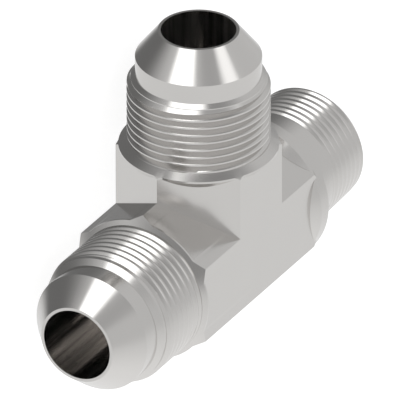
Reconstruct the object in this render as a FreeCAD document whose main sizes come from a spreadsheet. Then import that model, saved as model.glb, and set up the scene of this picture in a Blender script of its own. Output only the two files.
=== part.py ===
import FreeCAD, Part
import math
import os

import Sketcher
from FreeCAD import Vector

# Run tee adapter, bar steel, one piece. Two legs end in 37 degree flares with a straight
# thread, and the third leg ends in a taper pipe thread. Two hexagons meet in a mitre at the
# middle and give the wrench its flats.
#
# Frame: the origin is where the three bores cross. +X runs out through the pipe end, -X
# through the flare end of the run, +Y through the flare end of the branch. Both hexagons
# have flats facing +Z and -Z. The adapter lies on its collars, with the lower flats at -Z.
#
# Threads are cut as rings at their pitch, which keeps the faces few. Their helix isn't drawn.

doc = FreeCAD.newDocument("TeeAdapter")

# Driving sizes, in millimetres and degrees
sizes = (
    ("acrossFlats", 19.05, "both hexagons, flat to flat"),
    ("boreDia", 9.93, "drilled way through run and branch"),
    ("flareReach", 31.9, "crossing of the axes to the tip of a flare end"),
    ("flareThreadDia", 19.05, "outside of the straight thread"),
    ("flareAngle", 37, "side of the sealing cone to its axis"),
    ("tipDia", 10.5, "flat ring at the tip of the cone"),
    ("noseDia", 16.8, "plain band between cone and thread"),
    ("noseBand", 2.35, "length of that band"),
    ("leadAngle", 45, "chamfer where the thread starts, to its axis"),
    ("shoulderReach", 15.48, "crossing of the axes to the thread side of the shoulder"),
    ("shoulderAngle", 30, "fall of the shoulder away from the thread"),
    ("reliefRadius", 0.8, "hollow between thread and shoulder"),
    ("branchPitch", 1.112, "straight thread of the branch, crest to crest"),
    ("runPitch", 1.198, "straight thread of the run's flare end, crest to crest"),
    ("runCollarDia", 20.3, "round collar of the run's flare end"),
    ("branchCollarDia", 21.3, "round collar of the branch"),
    ("collarBand", 0.28, "straight band at the collar's edge, flare ends"),
    ("collarAngle", 45, "slope from the flats up to a collar"),
    ("runCornerAngle", 30, "chamfer of the hexagon's corners, run's flare end"),
    ("branchCornerAngle", 60, "chamfer of the hexagon's corners, branch"),
    ("pipeReach", 29.55, "crossing of the axes to the end of the pipe thread"),
    ("pipeDia", 17.145, "neck and large end of the taper thread"),
    ("pipeThreadLength", 8.45, "taper thread, measured from the pipe end"),
    ("pipeTaper", 0.0625, "loss of diameter for each unit of length"),
    ("pipePitch", 1.204, "taper thread, crest to crest"),
    ("pipeEndChamfer", 0.5, "edge of the pipe end, at 45 degrees"),
    ("pipeCollarDia", 21.3, "round collar behind the pipe end"),
    ("pipeCollarReach", 16.03, "crossing of the axes to the collar's outer edge"),
    ("pipeCollarBand", 1.9, "straight band at that collar's edge"),
    ("pipeHexagonReach", 14.75, "crossing of the axes to the hexagon's end under that collar"),
    ("pipeCornerAngle", 60, "chamfer of the hexagon's corners, pipe end"),
    ("threadAngle", 60, "between the two sides of a thread's groove"),
    ("crestShare", 0.2, "flat crest of every thread, as a share of its pitch"),
)

sheet = doc.addObject("Spreadsheet::Sheet", "Sizes")
for row, (alias, value, note) in enumerate(sizes, start=1):
    sheet.set("A%d" % row, alias)
    sheet.set("B%d" % row, str(value))
    sheet.set("C%d" % row, note)
    sheet.setAlias("B%d" % row, alias)
doc.recompute()

# How far a profile starts below the surface that it grows out of, and how far a cutting
# profile reaches past the metal that it takes away. Neither shows on the finished piece.
OVERLAP = 0.5

body = doc.addObject("PartDesign::Body", "TeeBody")
body.Label = "tee_body"


def new_sketch(name, plane):
    """An empty sketch on one of the body's own planes."""
    sketch = body.newObject("Sketcher::SketchObject", name)
    support = next(item for item in body.Origin.OriginFeatures if item.Role == plane)
    sketch.AttachmentSupport = (support, [""])
    sketch.MapMode = "FlatFace"
    return sketch


def bind(sketch, name, expression, kind, *ends):
    """A dimension of the sketch that follows the sheet."""
    value = float(sketch.evalExpression(expression))
    index = sketch.addConstraint(Sketcher.Constraint(kind, *ends, value))
    sketch.renameConstraint(index, name)
    sketch.setExpression("Constraints." + name, expression)


def end_near(sketch, line, point):
    """Which end of a sketch line lies at a point: 1 for its start, 2 for its end."""
    away = [(sketch.getPoint(line, end) - point).Length for end in (1, 2)]
    return 1 if away[0] < away[1] else 2


def add_outline(sketch, corners, along, outward=1, bends=()):
    """A closed outline in a sketch on the XY plane, for turning about the X or the Y axis.

    Each corner is its name, its distance along the axis and its radius. The radius is
    None on the axis itself. outward is -1 for a leg that points the negative way. bends
    names the corners that an arc leaves from, each with the arc's centre and radius.
    """
    first = sketch.GeometryCount

    def place(reach, radius):
        axial = outward * float(sketch.evalExpression(reach))
        radial = float(sketch.evalExpression(radius)) if radius else 0.0
        return Vector(axial, radial, 0) if along == "X" else Vector(radial, axial, 0)

    points = [place(reach, radius) for _, reach, radius in corners]
    count = len(points)
    for i, (corner, _, _) in enumerate(corners):
        start, end = points[i], points[(i + 1) % count]
        if corner in bends:
            reach, radius, bend = bends[corner]
            centre = place(reach, radius)
            middle = (start + end) * 0.5 - centre
            middle.normalize()
            middle = centre + middle * float(sketch.evalExpression(bend))
            sketch.addGeometry(Part.Arc(start, middle, end), False)
        else:
            sketch.addGeometry(Part.LineSegment(start, end), False)

    across = "Y" if along == "X" else "X"
    axis_line = -1 if along == "X" else -2
    for i, (corner, reach, radius) in enumerate(corners):
        line = first + i
        before = first + (i - 1) % count
        start = end_near(sketch, line, points[i])
        finish = end_near(sketch, before, points[i])
        sketch.addConstraint(Sketcher.Constraint("Coincident", before, finish, line, start))
        ends = (-1, 1, line, start) if outward > 0 else (line, start, -1, 1)
        bind(sketch, corner + "Reach", reach, "Distance" + along, *ends)
        if radius:
            bind(sketch, corner + "Radius", radius, "Distance" + across, -1, 1, line, start)
        else:
            sketch.addConstraint(Sketcher.Constraint("PointOnObject", line, start, axis_line))
        if corner in bends:
            bind(sketch, corner + "Bend", bends[corner][2], "Radius", line)


def draw_outline(name, corners, along, outward=1, bends=()):
    """A new sketch that holds one closed outline, with corners as add_outline takes them."""
    sketch = new_sketch(name, "XY_Plane")
    add_outline(sketch, corners, along, outward, bends)
    return sketch


def turn(name, kind, sketch, along):
    """A full turn of an outline, added to the body or cut from it."""
    feature = body.newObject("PartDesign::" + kind, name)
    feature.Profile = sketch
    feature.ReferenceAxis = (sketch, ["H_Axis" if along == "X" else "V_Axis"])
    feature.Angle = 360
    doc.recompute()
    return feature


def draw_hexagon(name, plane):
    """A regular hexagon with two level sides, its size set by the distance across flats."""
    sketch = new_sketch(name, plane)
    corner = float(sketch.evalExpression("Sizes.acrossFlats / sqrt(3)"))
    points = []
    for i in range(6):
        angle = math.radians(60 * i)
        points.append(Vector(corner * math.cos(angle), corner * math.sin(angle), 0))
    lines = [Part.LineSegment(points[i], points[(i + 1) % 6]) for i in range(6)]
    sketch.addGeometry(lines, False)
    ring = sketch.addGeometry(Part.Circle(Vector(), Vector(0, 0, 1), corner), True)
    sketch.addConstraint(Sketcher.Constraint("Coincident", ring, 3, -1, 1))
    for i in range(6):
        sketch.addConstraint(Sketcher.Constraint("Coincident", i, 2, (i + 1) % 6, 1))
        sketch.addConstraint(Sketcher.Constraint("PointOnObject", i, 1, ring))
        if i:
            sketch.addConstraint(Sketcher.Constraint("Equal", 0, i))
    sketch.addConstraint(Sketcher.Constraint("Horizontal", 1))
    bind(sketch, "halfFlats", "Sizes.acrossFlats / 2", "DistanceY", -1, 1, 1, 1)
    return sketch


def rim_reach(collar):
    """Where the sloping shoulder of a flare end meets the edge of its collar."""
    return ("(Sizes.shoulderReach - (Sizes.%s - Sizes.flareThreadDia) / 2"
            " * tan(Sizes.shoulderAngle))" % collar)


def collar_foot(collar, rim, band):
    """The two corners below a collar: where its slope starts inside the flats, and the
    lower edge of its straight band."""
    edge = "(%s - Sizes.%s)" % (rim, band)
    drop = ("((Sizes.%s - Sizes.acrossFlats) / 2 + %g) / tan(Sizes.collarAngle)"
            % (collar, OVERLAP))
    root = "%s - %s" % (edge, drop)
    return (("root", root, "Sizes.acrossFlats / 2 - %g" % OVERLAP),
            ("collarFoot", edge, "Sizes.%s / 2" % collar))


def cut_thread(name, pitch, start, end, radius, along, outward=1, taper="0"):
    """Ring grooves between two distances, the first crest standing at the nearer one.

    Each groove is a vee that is cut from just above the crests, over half their flats.
    taper is the loss of diameter for each unit of length.
    """
    sketch = new_sketch(name + "Grooves", "XY_Plane")
    step = "Sizes." + pitch
    length = float(sketch.evalExpression("%s - (%s)" % (end, start)))
    count = int(length / float(sketch.evalExpression(step)) + 0.5)
    slope = "tan(Sizes.threadAngle / 2)"
    bottom = "%s * (1 - Sizes.crestShare) / 2 / %s" % (step, slope)
    opening = "%s * (1 - Sizes.crestShare / 2) / 2" % step
    for turn_number in range(count):
        along_thread = "%g * %s" % (turn_number + 0.5, step)
        middle = "%s + %s" % (start, along_thread)
        root = "(%s - %s * %s / 2 - %s)" % (radius, along_thread, taper, bottom)
        rim = "%s + %s / %s" % (root, opening, slope)
        corners = (
            ("root%d" % turn_number, middle, root),
            ("far%d" % turn_number, "%s + %s" % (middle, opening), rim),
            ("near%d" % turn_number, "%s - %s" % (middle, opening), rim),
        )
        add_outline(sketch, corners, along, outward)
    return turn(name, "Groove", sketch, along)


def flare_leg(name, collar, pitch, along, outward=1):
    """Collar, shoulder, thread, nose and cone of a flare end, turned as one outline."""
    rim = rim_reach(collar)
    foot = collar_foot(collar, rim, "collarBand")
    cone_start = ("(Sizes.flareReach - (Sizes.noseDia - Sizes.tipDia) / 2"
                  " / tan(Sizes.flareAngle))")
    nose_start = "(%s - Sizes.noseBand)" % cone_start
    lead = "(Sizes.flareThreadDia - Sizes.noseDia) / 2 / tan(Sizes.leadAngle)"
    thread = "Sizes.flareThreadDia / 2"
    # The hollow is an arc that leaves the shoulder and runs into the thread's cylinder
    tangent = "Sizes.reliefRadius * tan((90 - Sizes.shoulderAngle) / 2)"
    hollow = {"reliefFoot": ("Sizes.shoulderReach + " + tangent,
                             thread + " + Sizes.reliefRadius", "Sizes.reliefRadius")}
    corners = (
        ("middle", foot[0][1], None),
        foot[0],
        foot[1],
        ("rim", rim, "Sizes.%s / 2" % collar),
        ("reliefFoot", "Sizes.shoulderReach - %s * sin(Sizes.shoulderAngle)" % tangent,
         "%s + %s * cos(Sizes.shoulderAngle)" % (thread, tangent)),
        ("reliefTop", "Sizes.shoulderReach + " + tangent, thread),
        ("threadStart", "%s - %s" % (nose_start, lead), thread),
        ("noseStart", nose_start, "Sizes.noseDia / 2"),
        ("coneStart", cone_start, "Sizes.noseDia / 2"),
        ("tip", "Sizes.flareReach", "Sizes.tipDia / 2"),
        ("centre", "Sizes.flareReach", None),
    )
    sketch = draw_outline(name + "Outline", corners, along, outward, hollow)
    turn(name, "Revolution", sketch, along)
    lead_middle = "%s - %s / 2" % (nose_start, lead)
    return cut_thread(name + "Thread", pitch, "Sizes.shoulderReach + " + tangent, lead_middle,
                      thread, along, outward)


def pipe_leg(name):
    """Collar, neck and taper thread of the pipe end, turned as one outline."""
    collar = "pipeCollarDia"
    foot = collar_foot(collar, "Sizes.pipeCollarReach", "pipeCollarBand")
    slope = "(Sizes.pipeCollarDia - Sizes.pipeDia) / 2 * tan(Sizes.shoulderAngle)"
    thread_start = "Sizes.pipeReach - Sizes.pipeThreadLength"
    end_radius = "(Sizes.pipeDia - Sizes.pipeThreadLength * Sizes.pipeTaper) / 2"
    chamfer = "Sizes.pipeEndChamfer"
    corners = (
        ("middle", foot[0][1], None),
        foot[0],
        foot[1],
        ("rim", "Sizes.pipeCollarReach", "Sizes.pipeCollarDia / 2"),
        ("neck", "Sizes.pipeCollarReach + " + slope, "Sizes.pipeDia / 2"),
        ("threadStart", thread_start, "Sizes.pipeDia / 2"),
        ("threadEnd", "Sizes.pipeReach - " + chamfer,
         "%s + %s * Sizes.pipeTaper / 2" % (end_radius, chamfer)),
        ("end", "Sizes.pipeReach", "%s - %s" % (end_radius, chamfer)),
        ("centre", "Sizes.pipeReach", None),
    )
    sketch = draw_outline(name + "Outline", corners, "X")
    turn(name, "Revolution", sketch, "X")
    return cut_thread(name + "Thread", "pipePitch", thread_start, "Sizes.pipeReach",
                      "Sizes.pipeDia / 2", "X", taper="Sizes.pipeTaper")


def trim_corners(name, collar, end, angle, along, outward=1):
    """Chamfer the six corners of a hexagon's end down to the edge of its collar."""
    radius = "Sizes.%s / 2" % collar
    clear = "(Sizes.acrossFlats / sqrt(3) + %g)" % OVERLAP
    fall = "(%s - %s) * tan(Sizes.%s)" % (clear, radius, angle)
    corners = (
        ("inner", end, radius),
        ("outer", end, clear),
        ("lower", "%s - %s" % (end, fall), clear),
    )
    sketch = draw_outline(name + "Outline", corners, along, outward)
    return turn(name, "Groove", sketch, along)


def drill(name, plane, ways):
    """A bore from the crossing of the axes, out along each of the given ways."""
    sketch = new_sketch(name + "Circle", plane)
    radius = float(sketch.evalExpression("Sizes.boreDia / 2"))
    sketch.addGeometry(Part.Circle(Vector(), Vector(0, 0, 1), radius), False)
    sketch.addConstraint(Sketcher.Constraint("Coincident", 0, 3, -1, 1))
    bind(sketch, "boreRadius", "Sizes.boreDia / 2", "Radius", 0)
    hole = body.newObject("PartDesign::Pocket", name)
    hole.Profile = sketch
    hole.Type = "Length"
    hole.setExpression("Length", ways[0])
    if len(ways) > 1:
        hole.SideType = "Two sides"
        hole.Type2 = "Length"
        hole.setExpression("Length2", ways[1])
    doc.recompute()
    return hole


# The two hexagons. The branch's starts at the run's axis, inside the run's own hexagon.
run_hexagon = body.newObject("PartDesign::Pad", "RunHexagon")
run_hexagon.Profile = draw_hexagon("RunHexagonSketch", "YZ_Plane")
run_hexagon.SideType = "Two sides"
run_hexagon.setExpression("Length", "Sizes.pipeHexagonReach")
run_hexagon.setExpression("Length2", rim_reach("runCollarDia"))
doc.recompute()

branch_hexagon = body.newObject("PartDesign::Pad", "BranchHexagon")
branch_hexagon.Profile = draw_hexagon("BranchHexagonSketch", "XZ_Plane")
branch_hexagon.Reversed = True
branch_hexagon.setExpression("Length", rim_reach("branchCollarDia"))
doc.recompute()

# Corners chamfered towards each collar
trim_corners("RunCorners", "runCollarDia", rim_reach("runCollarDia"),
             "runCornerAngle", "X", outward=-1)
trim_corners("BranchCorners", "branchCollarDia", rim_reach("branchCollarDia"),
             "branchCornerAngle", "Y")
trim_corners("PipeCorners", "pipeCollarDia", "Sizes.pipeHexagonReach",
             "pipeCornerAngle", "X")

# The three turned legs
flare_leg("RunFlare", "runCollarDia", "runPitch", "X", outward=-1)
flare_leg("BranchFlare", "branchCollarDia", "branchPitch", "Y")
pipe_leg("PipeEnd")

# Bores: straight through the run, and down the branch until the two meet
past_flare = "Sizes.flareReach + %g" % OVERLAP
past_pipe = "Sizes.pipeReach + %g" % OVERLAP
drill("RunBore", "YZ_Plane", (past_flare, past_pipe))
drill("BranchBore", "XZ_Plane", (past_flare,))

# Every feature has to be sound, and the body one closed solid, before anything is written
for item in doc.Objects:
    if "Invalid" in item.State or "Error" in item.State:
        raise RuntimeError("%s failed: %s" % (item.Name, item.State))
shape = body.Shape
if shape.isNull() or not shape.isValid() or len(shape.Solids) != 1:
    raise RuntimeError("the body isn't one valid solid")

os.makedirs("parts", exist_ok=True)
shape.exportStep(os.path.join("parts", body.Label + ".step"))
box = shape.optimalBoundingBox(False)
print("tee_body: %.1f mm3, box %.3f x %.3f x %.3f mm, centre of mass %s" % (
    shape.Volume, box.XLength, box.YLength, box.ZLength,
    tuple(round(value, 3) for value in shape.Solids[0].CenterOfMass)))
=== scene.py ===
import bpy
import bmesh
import math
import numpy as np
from mathutils import Matrix, Vector


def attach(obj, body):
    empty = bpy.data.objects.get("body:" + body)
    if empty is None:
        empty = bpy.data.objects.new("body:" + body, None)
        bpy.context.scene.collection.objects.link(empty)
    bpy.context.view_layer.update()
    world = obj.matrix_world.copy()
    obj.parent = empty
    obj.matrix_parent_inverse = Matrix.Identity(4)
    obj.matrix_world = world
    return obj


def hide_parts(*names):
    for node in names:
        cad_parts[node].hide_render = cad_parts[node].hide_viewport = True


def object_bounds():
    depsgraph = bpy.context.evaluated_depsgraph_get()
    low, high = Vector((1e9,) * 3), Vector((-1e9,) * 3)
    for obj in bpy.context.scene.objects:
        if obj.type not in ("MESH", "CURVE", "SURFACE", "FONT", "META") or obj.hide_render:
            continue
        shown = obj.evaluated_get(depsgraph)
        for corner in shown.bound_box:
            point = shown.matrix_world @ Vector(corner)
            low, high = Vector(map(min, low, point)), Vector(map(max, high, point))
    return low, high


# Tee adapter in satin steel, lying on its collars. Sizes are in millimetres and degrees, and are
# turned into metres where they reach Blender.
# The run lies along X with its flare end at -X and its pipe end at +X; the branch points to +Y.

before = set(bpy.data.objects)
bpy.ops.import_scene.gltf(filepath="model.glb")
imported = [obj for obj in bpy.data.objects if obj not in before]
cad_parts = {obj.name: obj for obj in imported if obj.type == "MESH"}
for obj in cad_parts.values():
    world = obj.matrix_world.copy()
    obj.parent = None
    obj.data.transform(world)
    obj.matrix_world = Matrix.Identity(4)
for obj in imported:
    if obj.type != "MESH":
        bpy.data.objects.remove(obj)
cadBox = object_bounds()
millimetre = 0.001
print("frame loaded")

# The camera: what it looks at, from which way, and which way is up in the picture. It stands far
# off with a long lens, as the photo shows almost no perspective.
camera = {
    "target": (2.32, 4.49, -1.17),
    "towards": (-0.7484, 0.5005, 0.4353),
    "up": (0.433, 0.866, -0.25),
    "distance": 2420.0,
    "lens": 1643.4,
    "nearest": 100.0,
    "farthest": 20000.0,
}


def makeCamera(values):
    # The camera's axes are right = up x back, up = back x right, and back, away from the target
    back = Vector(values["towards"]).normalized()
    right = Vector(values["up"]).cross(back).normalized()
    up = back.cross(right)
    data = bpy.data.cameras.new("camera")
    data.lens = values["lens"]
    data.clip_start = values["nearest"] * millimetre
    data.clip_end = values["farthest"] * millimetre
    seen = bpy.data.objects.new("camera", data)
    bpy.context.collection.objects.link(seen)
    place = (Vector(values["target"]) + back * values["distance"]) * millimetre
    turned = Matrix((right, up, back)).transposed().to_4x4()
    seen.matrix_world = Matrix.Translation(place) @ turned
    bpy.context.scene.camera = seen


makeCamera(camera)
print("camera placed")

# What all three legs share. columns is the number of even steps around a leg. Edges that bend
# by more than sharpAngle stay sharp, and points closer than weld become one.
middle = {"acrossFlats": 19.05, "boreDia": 10.0, "columns": 180, "sharpAngle": 25, "weld": 0.0002}

# Both flare ends, from the shoulder out to the tip
flare = {
    "shoulderReach": 15.48, "shoulderAngle": 30, "threadDia": 19.05, "leadAngle": 45,
    "noseReach": 25.37, "noseDia": 16.8, "coneReach": 28.05, "tipDia": 10.8, "reach": 31.9,
}

# What differs from leg to leg. crestReach is a crest's place at the angle crestAngle, crestFlat
# its width as a share of the pitch, crestRound the radius of its edges, and sideAngle the lean of
# the thread's sides from the plane across the axis. On a flare end the lead falls from the thread
# to a narrow cylinder, the land, and on to the nose.
branchEnd = {
    "collarDia": 21.3, "collarBand": 0.28, "cornerAngle": 45,
    "pitch": 1.112, "crestReach": 15.56, "crestAngle": -60,
    "crestFlat": 0.17, "crestRound": 0.03, "sideAngle": 30,
    "landFrom": 24.77, "landTo": 24.89, "landDia": 17.98,
}
runEnd = {
    "collarDia": 20.3, "collarBand": 0.28, "cornerAngle": 30,
    "pitch": 1.198, "crestReach": 15.7, "crestAngle": 72,
    "crestFlat": 0.17, "crestRound": 0.22, "sideAngle": 40,
    "landFrom": 24.05, "landTo": 24.65, "landDia": 18.24,
}
pipeEnd = {
    "collarDia": 21.3, "collarBand": 1.9, "cornerAngle": 60, "collarReach": 16.03,
    "hexagonReach": 14.75, "reach": 29.55, "dia": 17.145, "threadLength": 8.45,
    "taper": 0.0625, "endChamfer": 0.15, "shoulderAngle": 30,
    "pitch": 1.204, "crestReach": 20.95, "crestAngle": -72,
    "crestFlat": 0.35, "crestRound": 0.12, "sideAngle": 48,
}

# All threads: the root as a share of the pitch, how far the groove takes to reach its depth, and
# the points on a crest's rounded edge and on a side
thread = {"rootShare": 0.02, "runOut": 0.4, "arcPoints": 6, "sidePoints": 2}


def tangent(degrees):
    return math.tan(math.radians(degrees))


def columnAngles():
    # Even steps, plus the directions where each collar is exactly as wide as the hexagon: the
    # angle whose cosine is the width across flats over the collar's width, each side of a flat's
    # middle. The same set serves every leg and is its own mirror image, so the legs' edges meet.
    even = np.linspace(-180, 180, middle["columns"], endpoint=False)
    extra = []
    for leg in (branchEnd, runEnd):
        off = math.degrees(math.acos(middle["acrossFlats"] / leg["collarDia"]))
        for side in range(-180, 180, 60):
            extra += [side - off, side + off]
    found = (np.concatenate([even, extra]) + 180) % 360 - 180
    return np.radians(np.unique(np.round(found, 9)))    # rounded, so that equal ones fall together


angles = columnAngles()


def hexagonRadius():
    # Half the width across flats, over the cosine of the angle to the nearest flat's middle
    sixth = math.pi / 3
    near = (angles + sixth / 2) % sixth - sixth / 2
    return middle["acrossFlats"] / 2 / np.cos(near)


def smooth(value, low, high):
    # 0 below low, 1 above high, and between them 3 x share squared - 2 x share cubed
    share = np.clip((value - low) / (high - low), 0, 1)
    return share * share * (3 - 2 * share)


def row(reach, radius):
    # One row of points around a leg: distance along its axis, and radius, for each column
    return np.broadcast_to(reach, angles.shape), np.broadcast_to(radius, angles.shape)


def collarRows(leg, rim, hexagonEnd):
    # Where the collar is wider than the hexagon, a 45 degree slope climbs from the flat to the
    # collar's band. Where the hexagon is wider, its corner falls in a cone to the collar's edge.
    wide = leg["collarDia"] / 2
    side = hexagonRadius()
    edge = rim - leg["collarBand"]
    rise = wide - side
    proud = rise > 0
    corner = hexagonEnd + rise * tangent(leg["cornerAngle"])
    foot = np.where(proud, edge - rise, np.minimum(edge, corner))
    top = np.where(proud, wide, side)
    return [
        row(foot, side),
        row(np.where(proud, edge, foot), top),
        row(np.where(proud, hexagonEnd, corner), top),
        row(hexagonEnd, wide),
        row(rim, wide),
    ]


def threadRows(leg, start, end, outside):
    # Rows run along the helix, so each keeps one place in the thread's profile all the way round:
    # reach = crest + pitch x (step + angle / full turn), held between start and end.
    # The profile leaves the crest's flat in an arc, falls along the side and stops at the root.
    # outside gives the radius from the reach and from how far the profile has fallen there.
    pitch = leg["pitch"]
    lean = math.radians(90 - leg["sideAngle"])
    crest = leg["crestReach"] - pitch * leg["crestAngle"] / 360
    flat = leg["crestFlat"] / 2
    bend = leg["crestRound"]
    bent = bend * math.sin(lean) / pitch
    deep = 0.5 - thread["rootShare"] / 2
    side = np.concatenate([
        flat + bend * np.sin(lean * np.linspace(0, 1, thread["arcPoints"])) / pitch,
        np.linspace(flat + bent, deep, thread["sidePoints"] + 1)[1:],
    ])
    shares = np.concatenate([side, 1 - side[::-1]])

    # A spare turn or two at each end, as a row may start half a turn off
    first = math.floor((start - crest) / pitch) - 2
    last = math.ceil((end - crest) / pitch) + 2
    steps = (np.arange(first, last)[:, None] + shares[None, :]).ravel()
    turned = angles / (2 * math.pi)
    reach = np.clip(crest + pitch * (steps[:, None] + turned[None, :]), start, end)
    kept = np.ptp(reach, axis=1) > 0
    reach = reach[kept]

    # How far each point is from the nearest crest's flat, as a share of the pitch, and its fall:
    # radius - root of (radius squared - distance squared) in the arc, then a straight slope
    turn = (reach - crest) / pitch - turned
    away = np.minimum(np.abs(turn - np.round(turn)), deep) - flat
    inArc = np.clip(away, 0, bent) * pitch
    onSide = np.clip(away - bent, 0, None) * pitch
    fall = bend - np.sqrt(bend ** 2 - inArc ** 2) + onSide * math.tan(lean)
    radius = outside(reach, fall * smooth(reach, start, start + thread["runOut"]))
    return list(zip(reach, radius))


def flareRows(leg):
    # Collar, shoulder, thread, lead, nose, cone and tip of a flare end
    r = flare["threadDia"] / 2
    landFrom, land = leg["landFrom"], leg["landDia"] / 2
    nose = flare["noseDia"] / 2
    rim = flare["shoulderReach"] - (leg["collarDia"] / 2 - r) * tangent(flare["shoulderAngle"])

    def outside(reach, fall):
        # The thread's own radius, cut back by the lead's cone, where the groove also fades out
        lead = land + (landFrom - reach) * tangent(flare["leadAngle"])
        cut = np.minimum(r - fall, lead)
        return cut + (lead - cut) * smooth(reach, landFrom - thread["runOut"], landFrom)

    rows = collarRows(leg, rim, rim)
    rows += threadRows(leg, flare["shoulderReach"], landFrom, outside)
    rows += [
        row(landFrom, land),
        row(leg["landTo"], land),
        row(flare["noseReach"], nose),
        row(flare["coneReach"], nose),
        row(flare["reach"], flare["tipDia"] / 2),
    ]
    return rows, flare["reach"]


def pipeRows(leg):
    # Collar, neck, taper thread and end of the pipe leg
    r = leg["dia"] / 2
    reachEnd = leg["reach"]
    threadStart = reachEnd - leg["threadLength"]
    rim = leg["collarReach"]
    neck = rim + (leg["collarDia"] / 2 - r) * tangent(leg["shoulderAngle"])
    endRadius = r - leg["threadLength"] * leg["taper"] / 2 - leg["endChamfer"]

    def outside(reach, fall):
        # The taper takes half its share of the length off the radius. The chamfer at the end is
        # a 45 degree cone.
        taper = r - np.clip(reach - threadStart, 0, None) * leg["taper"] / 2
        return np.minimum(taper - fall, endRadius + reachEnd - reach)

    rows = collarRows(leg, rim, leg["hexagonReach"])
    rows += [row(neck, r)]
    rows += threadRows(leg, threadStart - thread["runOut"], reachEnd, outside)
    return rows, reachEnd


def legGrid(rows, reach, mitre, place):
    # A leg as a grid: from the mitre with its neighbours out to the end, in through the bore,
    # and back to the crossing of the bores. mitre gives where the leg starts at a radius, and
    # place turns along, aside = radius x sine and up = radius x cosine into the three axes.
    bore = middle["boreDia"] / 2
    side = hexagonRadius()
    rows = [row(mitre(side), side)] + rows + [row(reach, bore), row(mitre(bore), bore)]
    along, radii = (np.array(part) for part in zip(*rows))
    return np.stack(place(along, radii * np.sin(angles), radii * np.cos(angles)), -1)


def gridFaces(count, columns, first):
    # Quads of a grid that closes on itself around the leg, facing outwards
    up = np.arange(count - 1)[:, None] * columns
    here = np.arange(columns)[None, :]
    there = (here + 1) % columns
    quads = np.stack([up + here, up + there, up + columns + there, up + columns + here], -1)
    return quads.reshape(-1, 4) + first


def makeTee():
    # Angles run from +Z and anticlockwise about each leg's outward axis. Equal hexagons and equal
    # bores cross in the planes where the distances along the two axes are the same.
    across = np.sin(angles)
    legs = [
        (flareRows(branchEnd), lambda r: np.abs(r * across),
         lambda along, aside, up: (aside, along, up)),
        (flareRows(runEnd), lambda r: np.maximum(r * across, 0),
         lambda along, aside, up: (-along, aside, up)),
        (pipeRows(pipeEnd), lambda r: np.maximum(-r * across, 0),
         lambda along, aside, up: (along, -aside, up)),
    ]
    points, faces, finishes = [], [], []
    first = 0
    for (rows, reach), mitre, place in legs:
        grid = legGrid(rows, reach, mitre, place)
        count, columns = grid.shape[:2]
        points.append(grid.reshape(-1, 3))
        faces.append(gridFaces(count, columns, first))
        inBore = np.arange(count - 1) == count - 2    # the last strip of faces is the bore
        finishes.append(np.repeat(inBore, columns))
        first += count * columns

    mesh = bpy.data.meshes.new("teeAdapter")
    mesh.from_pydata(np.concatenate(points) * millimetre, [], np.concatenate(faces))
    mesh.polygons.foreach_set("material_index", np.concatenate(finishes).astype(np.int32))
    shape = bmesh.new()
    shape.from_mesh(mesh)
    weld = middle["weld"] * millimetre
    bmesh.ops.remove_doubles(shape, verts=shape.verts, dist=weld)
    bmesh.ops.dissolve_degenerate(shape, edges=shape.edges, dist=weld)
    print("open edges", sum(not edge.is_manifold for edge in shape.edges),
          "cubic millimetres", shape.calc_volume() / millimetre ** 3, "faces", len(shape.faces))
    shape.to_mesh(mesh)
    shape.free()
    mesh.shade_smooth()
    mesh.set_sharp_from_angle(angle=math.radians(middle["sharpAngle"]))
    piece = bpy.data.objects.new("teeAdapter", mesh)
    bpy.context.collection.objects.link(piece)
    return piece


tee = makeTee()
print("adapter made")

# The machined outside: soft clouds in its colour and gloss, and a fine grain of shallow marks
satinSteel = {
    "color": (0.665, 0.652, 0.636), "darker": 0.97, "roughness": (0.13, 0.2),
    "markSpacing": 0.11, "markDepth": 0.0006, "markDetail": 1.0,
    "cloudSize": 6.0, "cloudDetail": 2.0,
}

# The drilled bores: a copy of the steel painted paler than the outside, to lift the shaded bores, which
# many reflections still turn dark and a little brown. Painted reflection streaks run along each axis as
# darker bands, which also change the gloss.
# contrast is the stretch of the noise that becomes the whole streak.
paintedBoreSteel = {
    "color": (0.96, 0.935, 0.91), "darker": 0.72, "roughness": (0.08, 0.24),
    "streakWidth": 1.1, "streakLength": 60.0, "streakDetail": 2.0, "contrast": (0.3, 0.7),
}


def nodeMaker(tree):
    # Returns a function that adds a node with its settings and inputs, each a number, a vector
    # or another node's output. Inputs that share one name, as on a math node, go by number.
    def join(kind, inputs, **settings):
        node = tree.nodes.new(kind)
        for name, value in settings.items():
            setattr(node, name, value)
        for name, value in inputs.items():
            if isinstance(value, bpy.types.NodeSocket):
                tree.links.new(value, node.inputs[name])
            else:
                node.inputs[name].default_value = value
        return node
    return join


def newSteel(name):
    # A bare metal: the material, its shader, its node maker and its Object coordinates
    material = bpy.data.materials.new(name)
    material.use_nodes = True
    shader = material.node_tree.nodes["Principled BSDF"]
    shader.inputs["Metallic"].default_value = 1
    join = nodeMaker(material.node_tree)
    places = join("ShaderNodeTexCoord", {}).outputs["Object"]
    return material, shader, join, places


def finishSteel(material, shader, join, share, values):
    # Where the share is low the colour is darker and the surface takes the lower roughness
    color = Vector(values["color"])
    low, high = values["roughness"]
    tint = join("ShaderNodeMix", {"Factor": share}, data_type="RGBA")
    tint.inputs["A"].default_value = (*(color * values["darker"]), 1)
    tint.inputs["B"].default_value = (*color, 1)
    rough = join("ShaderNodeMapRange", {"Value": share, "To Min": low, "To Max": high})
    links = material.node_tree.links
    links.new(tint.outputs["Result"], shader.inputs["Base Color"])
    links.new(rough.outputs["Result"], shader.inputs["Roughness"])


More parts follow.
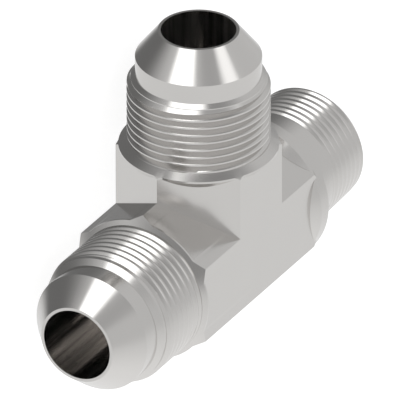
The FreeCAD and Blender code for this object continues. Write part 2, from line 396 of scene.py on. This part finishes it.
def makeSatinSteel(values):
    material, shader, join, places = newSteel("satinSteel")
    cloudScale = 1 / (values["cloudSize"] * millimetre)
    clouds = join("ShaderNodeTexNoise", {"Vector": places, "Scale": cloudScale,
                                         "Detail": values["cloudDetail"]})
    finishSteel(material, shader, join, clouds.outputs[0], values)

    # The marks vary along X and Y only: a grain on the upper flats, upright lines on the sides
    flat = join("ShaderNodeMapping", {"Vector": places, "Scale": (1.0, 1.0, 0.0)})
    markScale = 1 / (values["markSpacing"] * millimetre)
    marks = join("ShaderNodeTexNoise", {"Vector": flat.outputs[0], "Scale": markScale,
                                        "Detail": values["markDetail"]})
    bump = join("ShaderNodeBump", {"Height": marks.outputs[0], "Strength": 1.0,
                                   "Distance": values["markDepth"] * millimetre})
    material.node_tree.links.new(bump.outputs["Normal"], shader.inputs["Normal"])
    return material


# Bore steel with painted light: a colour paler than the outside steel, and painted reflection streaks
def makePaintedBoreSteel(values):
    material, shader, join, places = newSteel("paintedBoreSteel")
    across = 1 / (values["streakWidth"] * millimetre)
    long = 1 / (values["streakLength"] * millimetre)
    inRun = join("ShaderNodeMapping", {"Vector": places, "Scale": (long, across, across)})
    inBranch = join("ShaderNodeMapping", {"Vector": places, "Scale": (across, long, across)})

    # The branch's bore is where the reach along it is more than the bore's radius
    reach = join("ShaderNodeSeparateXYZ", {"Vector": places}).outputs["Y"]
    radius = middle["boreDia"] / 2 * millimetre
    inside = join("ShaderNodeMath", {0: reach, 1: radius}, operation="GREATER_THAN").outputs[0]
    turned = join("ShaderNodeMix", {"Factor": inside}, data_type="VECTOR")
    links = material.node_tree.links
    links.new(inRun.outputs[0], turned.inputs["A"])
    links.new(inBranch.outputs[0], turned.inputs["B"])
    # Painted reflection streaks: the stretched noise darkens the bores' colour in bands along each
    # axis, and changes their gloss with it
    noise = join("ShaderNodeTexNoise", {"Vector": turned.outputs["Result"], "Scale": 1.0,
                                        "Detail": values["streakDetail"]})
    low, high = values["contrast"]
    paintedStreaks = join("ShaderNodeMapRange", {"Value": noise.outputs[0], "From Min": low, "From Max": high})
    finishSteel(material, shader, join, paintedStreaks.outputs[0], values)
    return material


tee.data.materials.append(makeSatinSteel(satinSteel))
tee.data.materials.append(makePaintedBoreSteel(paintedBoreSteel))
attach(tee, "root")
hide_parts("tee_body")
print("adapter finished in steel")

# The studio, told in the picture's own directions: azimuth and elevation as the camera's upright
# sees them, with azimuth 0 along the run's flare end and elevation 90 along the branch. Levels are
# brightness, where 1 is white. Shades are round and soft, from a full core of angle inner to
# nothing at outer. Panels are rectangles with soft edges, their sides told as tangents of angles.
# The ground sets in between the elevations from and to, for steel only. ahead is the cosine from
# a panel's direction over which its front sets in, so that none shows behind.
studio = {
    "walls": 0.68,
    "ground": {"from": -3, "to": -24, "level": 0.68, "rise": 0.34},
    "shades": [
        {"towards": (-115, 12), "level": 0.19, "inner": 26, "outer": 74},
        {"towards": (5, 8), "level": 0.34, "inner": 18, "outer": 46},
        {"towards": (100, 86), "level": 0.32, "inner": 8, "outer": 42},
        {"towards": (62, 46), "level": 0.5, "inner": 6, "outer": 26},
    ],
    "panels": [
        {"towards": (-5, 50), "level": 2.1, "width": (-0.34, 0.31), "height": (-0.27, 0.68)},
        {"towards": (95, 35), "level": 1.45, "width": (-0.21, 0.2), "height": (-0.35, 0.18)},
    ],
    "panelEdge": 0.08,
    "ahead": (0.02, 0.1),
}


def wayTo(azimuth, elevation):
    # A direction of the studio in the scene's axes: azimuth turns from -X to +Z, elevation rises to +Y
    a = math.radians(azimuth)
    e = math.radians(elevation)
    return Vector((-math.cos(a) * math.cos(e), math.sin(e), math.sin(a) * math.cos(e)))


def makeStudio(values):
    # The strength starts as the walls' level, and each shade, panel and ground is blended over it:
    # before + share x (after - before)
    world = bpy.data.worlds.new("studio")
    world.use_nodes = True
    bpy.context.scene.world = world
    world.node_tree.nodes.clear()
    join = nodeMaker(world.node_tree)
    way = join("ShaderNodeTexCoord", {}).outputs["Generated"]

    def along(direction):
        dot = join("ShaderNodeVectorMath", {0: way, 1: direction}, operation="DOT_PRODUCT")
        return dot.outputs["Value"]

    def ramp(value, low, high):
        return join("ShaderNodeMapRange", {"Value": value, "From Min": low, "From Max": high},
                    interpolation_type="SMOOTHSTEP").outputs["Result"]

    def combine(kind, first, second):
        return join("ShaderNodeMath", {0: first, 1: second}, operation=kind).outputs[0]

    def blend(share, before, after):
        mix = join("ShaderNodeMix", {"Factor": share, "A": before, "B": after}, data_type="FLOAT")
        return mix.outputs["Result"]

    level = values["walls"]
    for shade in values["shades"]:
        # A shade is a cone: its share follows the cosine of the angle from its direction
        core, rim = (math.cos(math.radians(shade[name])) for name in ("inner", "outer"))
        share = ramp(along(wayTo(*shade["towards"])), rim, core)
        level = blend(share, level, shade["level"])

    edge = values["panelEdge"]
    for panel in values["panels"]:
        # A panel is flat: places on it are the ratios of the direction's parts across and ahead
        azimuth, elevation = panel["towards"]
        ahead = along(wayTo(azimuth, elevation))
        share = ramp(ahead, *values["ahead"])
        sides = (
            (wayTo(azimuth + 90, 0), panel["width"]),
            (wayTo(azimuth, elevation + 90), panel["height"]),
        )
        for side, (low, high) in sides:
            place = combine("DIVIDE", along(side), ahead)
            share = combine("MULTIPLY", share, ramp(place, low - edge, low + edge))
            share = combine("MULTIPLY", share, ramp(place, high + edge, high - edge))
        level = blend(share, level, panel["level"])

    # The white ground, which steel shows from below: level + rise x sine of the angle down
    ground = values["ground"]
    down = along(wayTo(0, -90))
    start, full = (math.sin(math.radians(-ground[name])) for name in ("from", "to"))
    rise = combine("MULTIPLY", down, ground["rise"])
    white = combine("MINIMUM", combine("ADD", rise, ground["level"]), 1.0)
    rays = join("ShaderNodeLightPath", {}).outputs
    shown = combine("MULTIPLY", rays["Is Glossy Ray"], ramp(down, start, full))
    level = blend(shown, level, white)

    # The camera, and what it sees through, gets the plain white background
    seen = combine("MAXIMUM", rays["Is Camera Ray"], rays["Is Transmission Ray"])
    strength = blend(seen, level, 1.0)
    background = join("ShaderNodeBackground", {"Color": (1, 1, 1, 1), "Strength": strength})
    join("ShaderNodeOutputWorld", {"Surface": background.outputs[0]})


makeStudio(studio)
print("studio made")

# The floor under the collars. Its glow lifts its grey to nearly white and leaves a faint shadow.
paleFloor = {"half": 3000.0, "color": 0.4, "glow": 0.86}


def makeFloor(values, low):
    # A square of twice half on a side, level with the lowest point of the adapter
    half = values["half"] * millimetre
    mesh = bpy.data.meshes.new("floor")
    corners = [(-half, -half, low), (half, -half, low), (half, half, low), (-half, half, low)]
    mesh.from_pydata(corners, [], [(0, 1, 2, 3)])
    material = bpy.data.materials.new("paleFloor")
    material.use_nodes = True
    paint = material.node_tree.nodes["Principled BSDF"].inputs
    paint["Base Color"].default_value = (values["color"], values["color"], values["color"], 1)
    paint["Roughness"].default_value = 1
    paint["Specular IOR Level"].default_value = 0
    paint["Emission Color"].default_value = (1, 1, 1, 1)
    paint["Emission Strength"].default_value = values["glow"]
    mesh.materials.append(material)
    floor = bpy.data.objects.new("floor", mesh)
    floor.visible_glossy = False    # steel shows the studio's own ground instead
    bpy.context.collection.objects.link(floor)
    return floor


floor = makeFloor(paleFloor, cadBox[0][2])
print("floor made")

bpy.context.scene.view_settings.view_transform = "Standard"
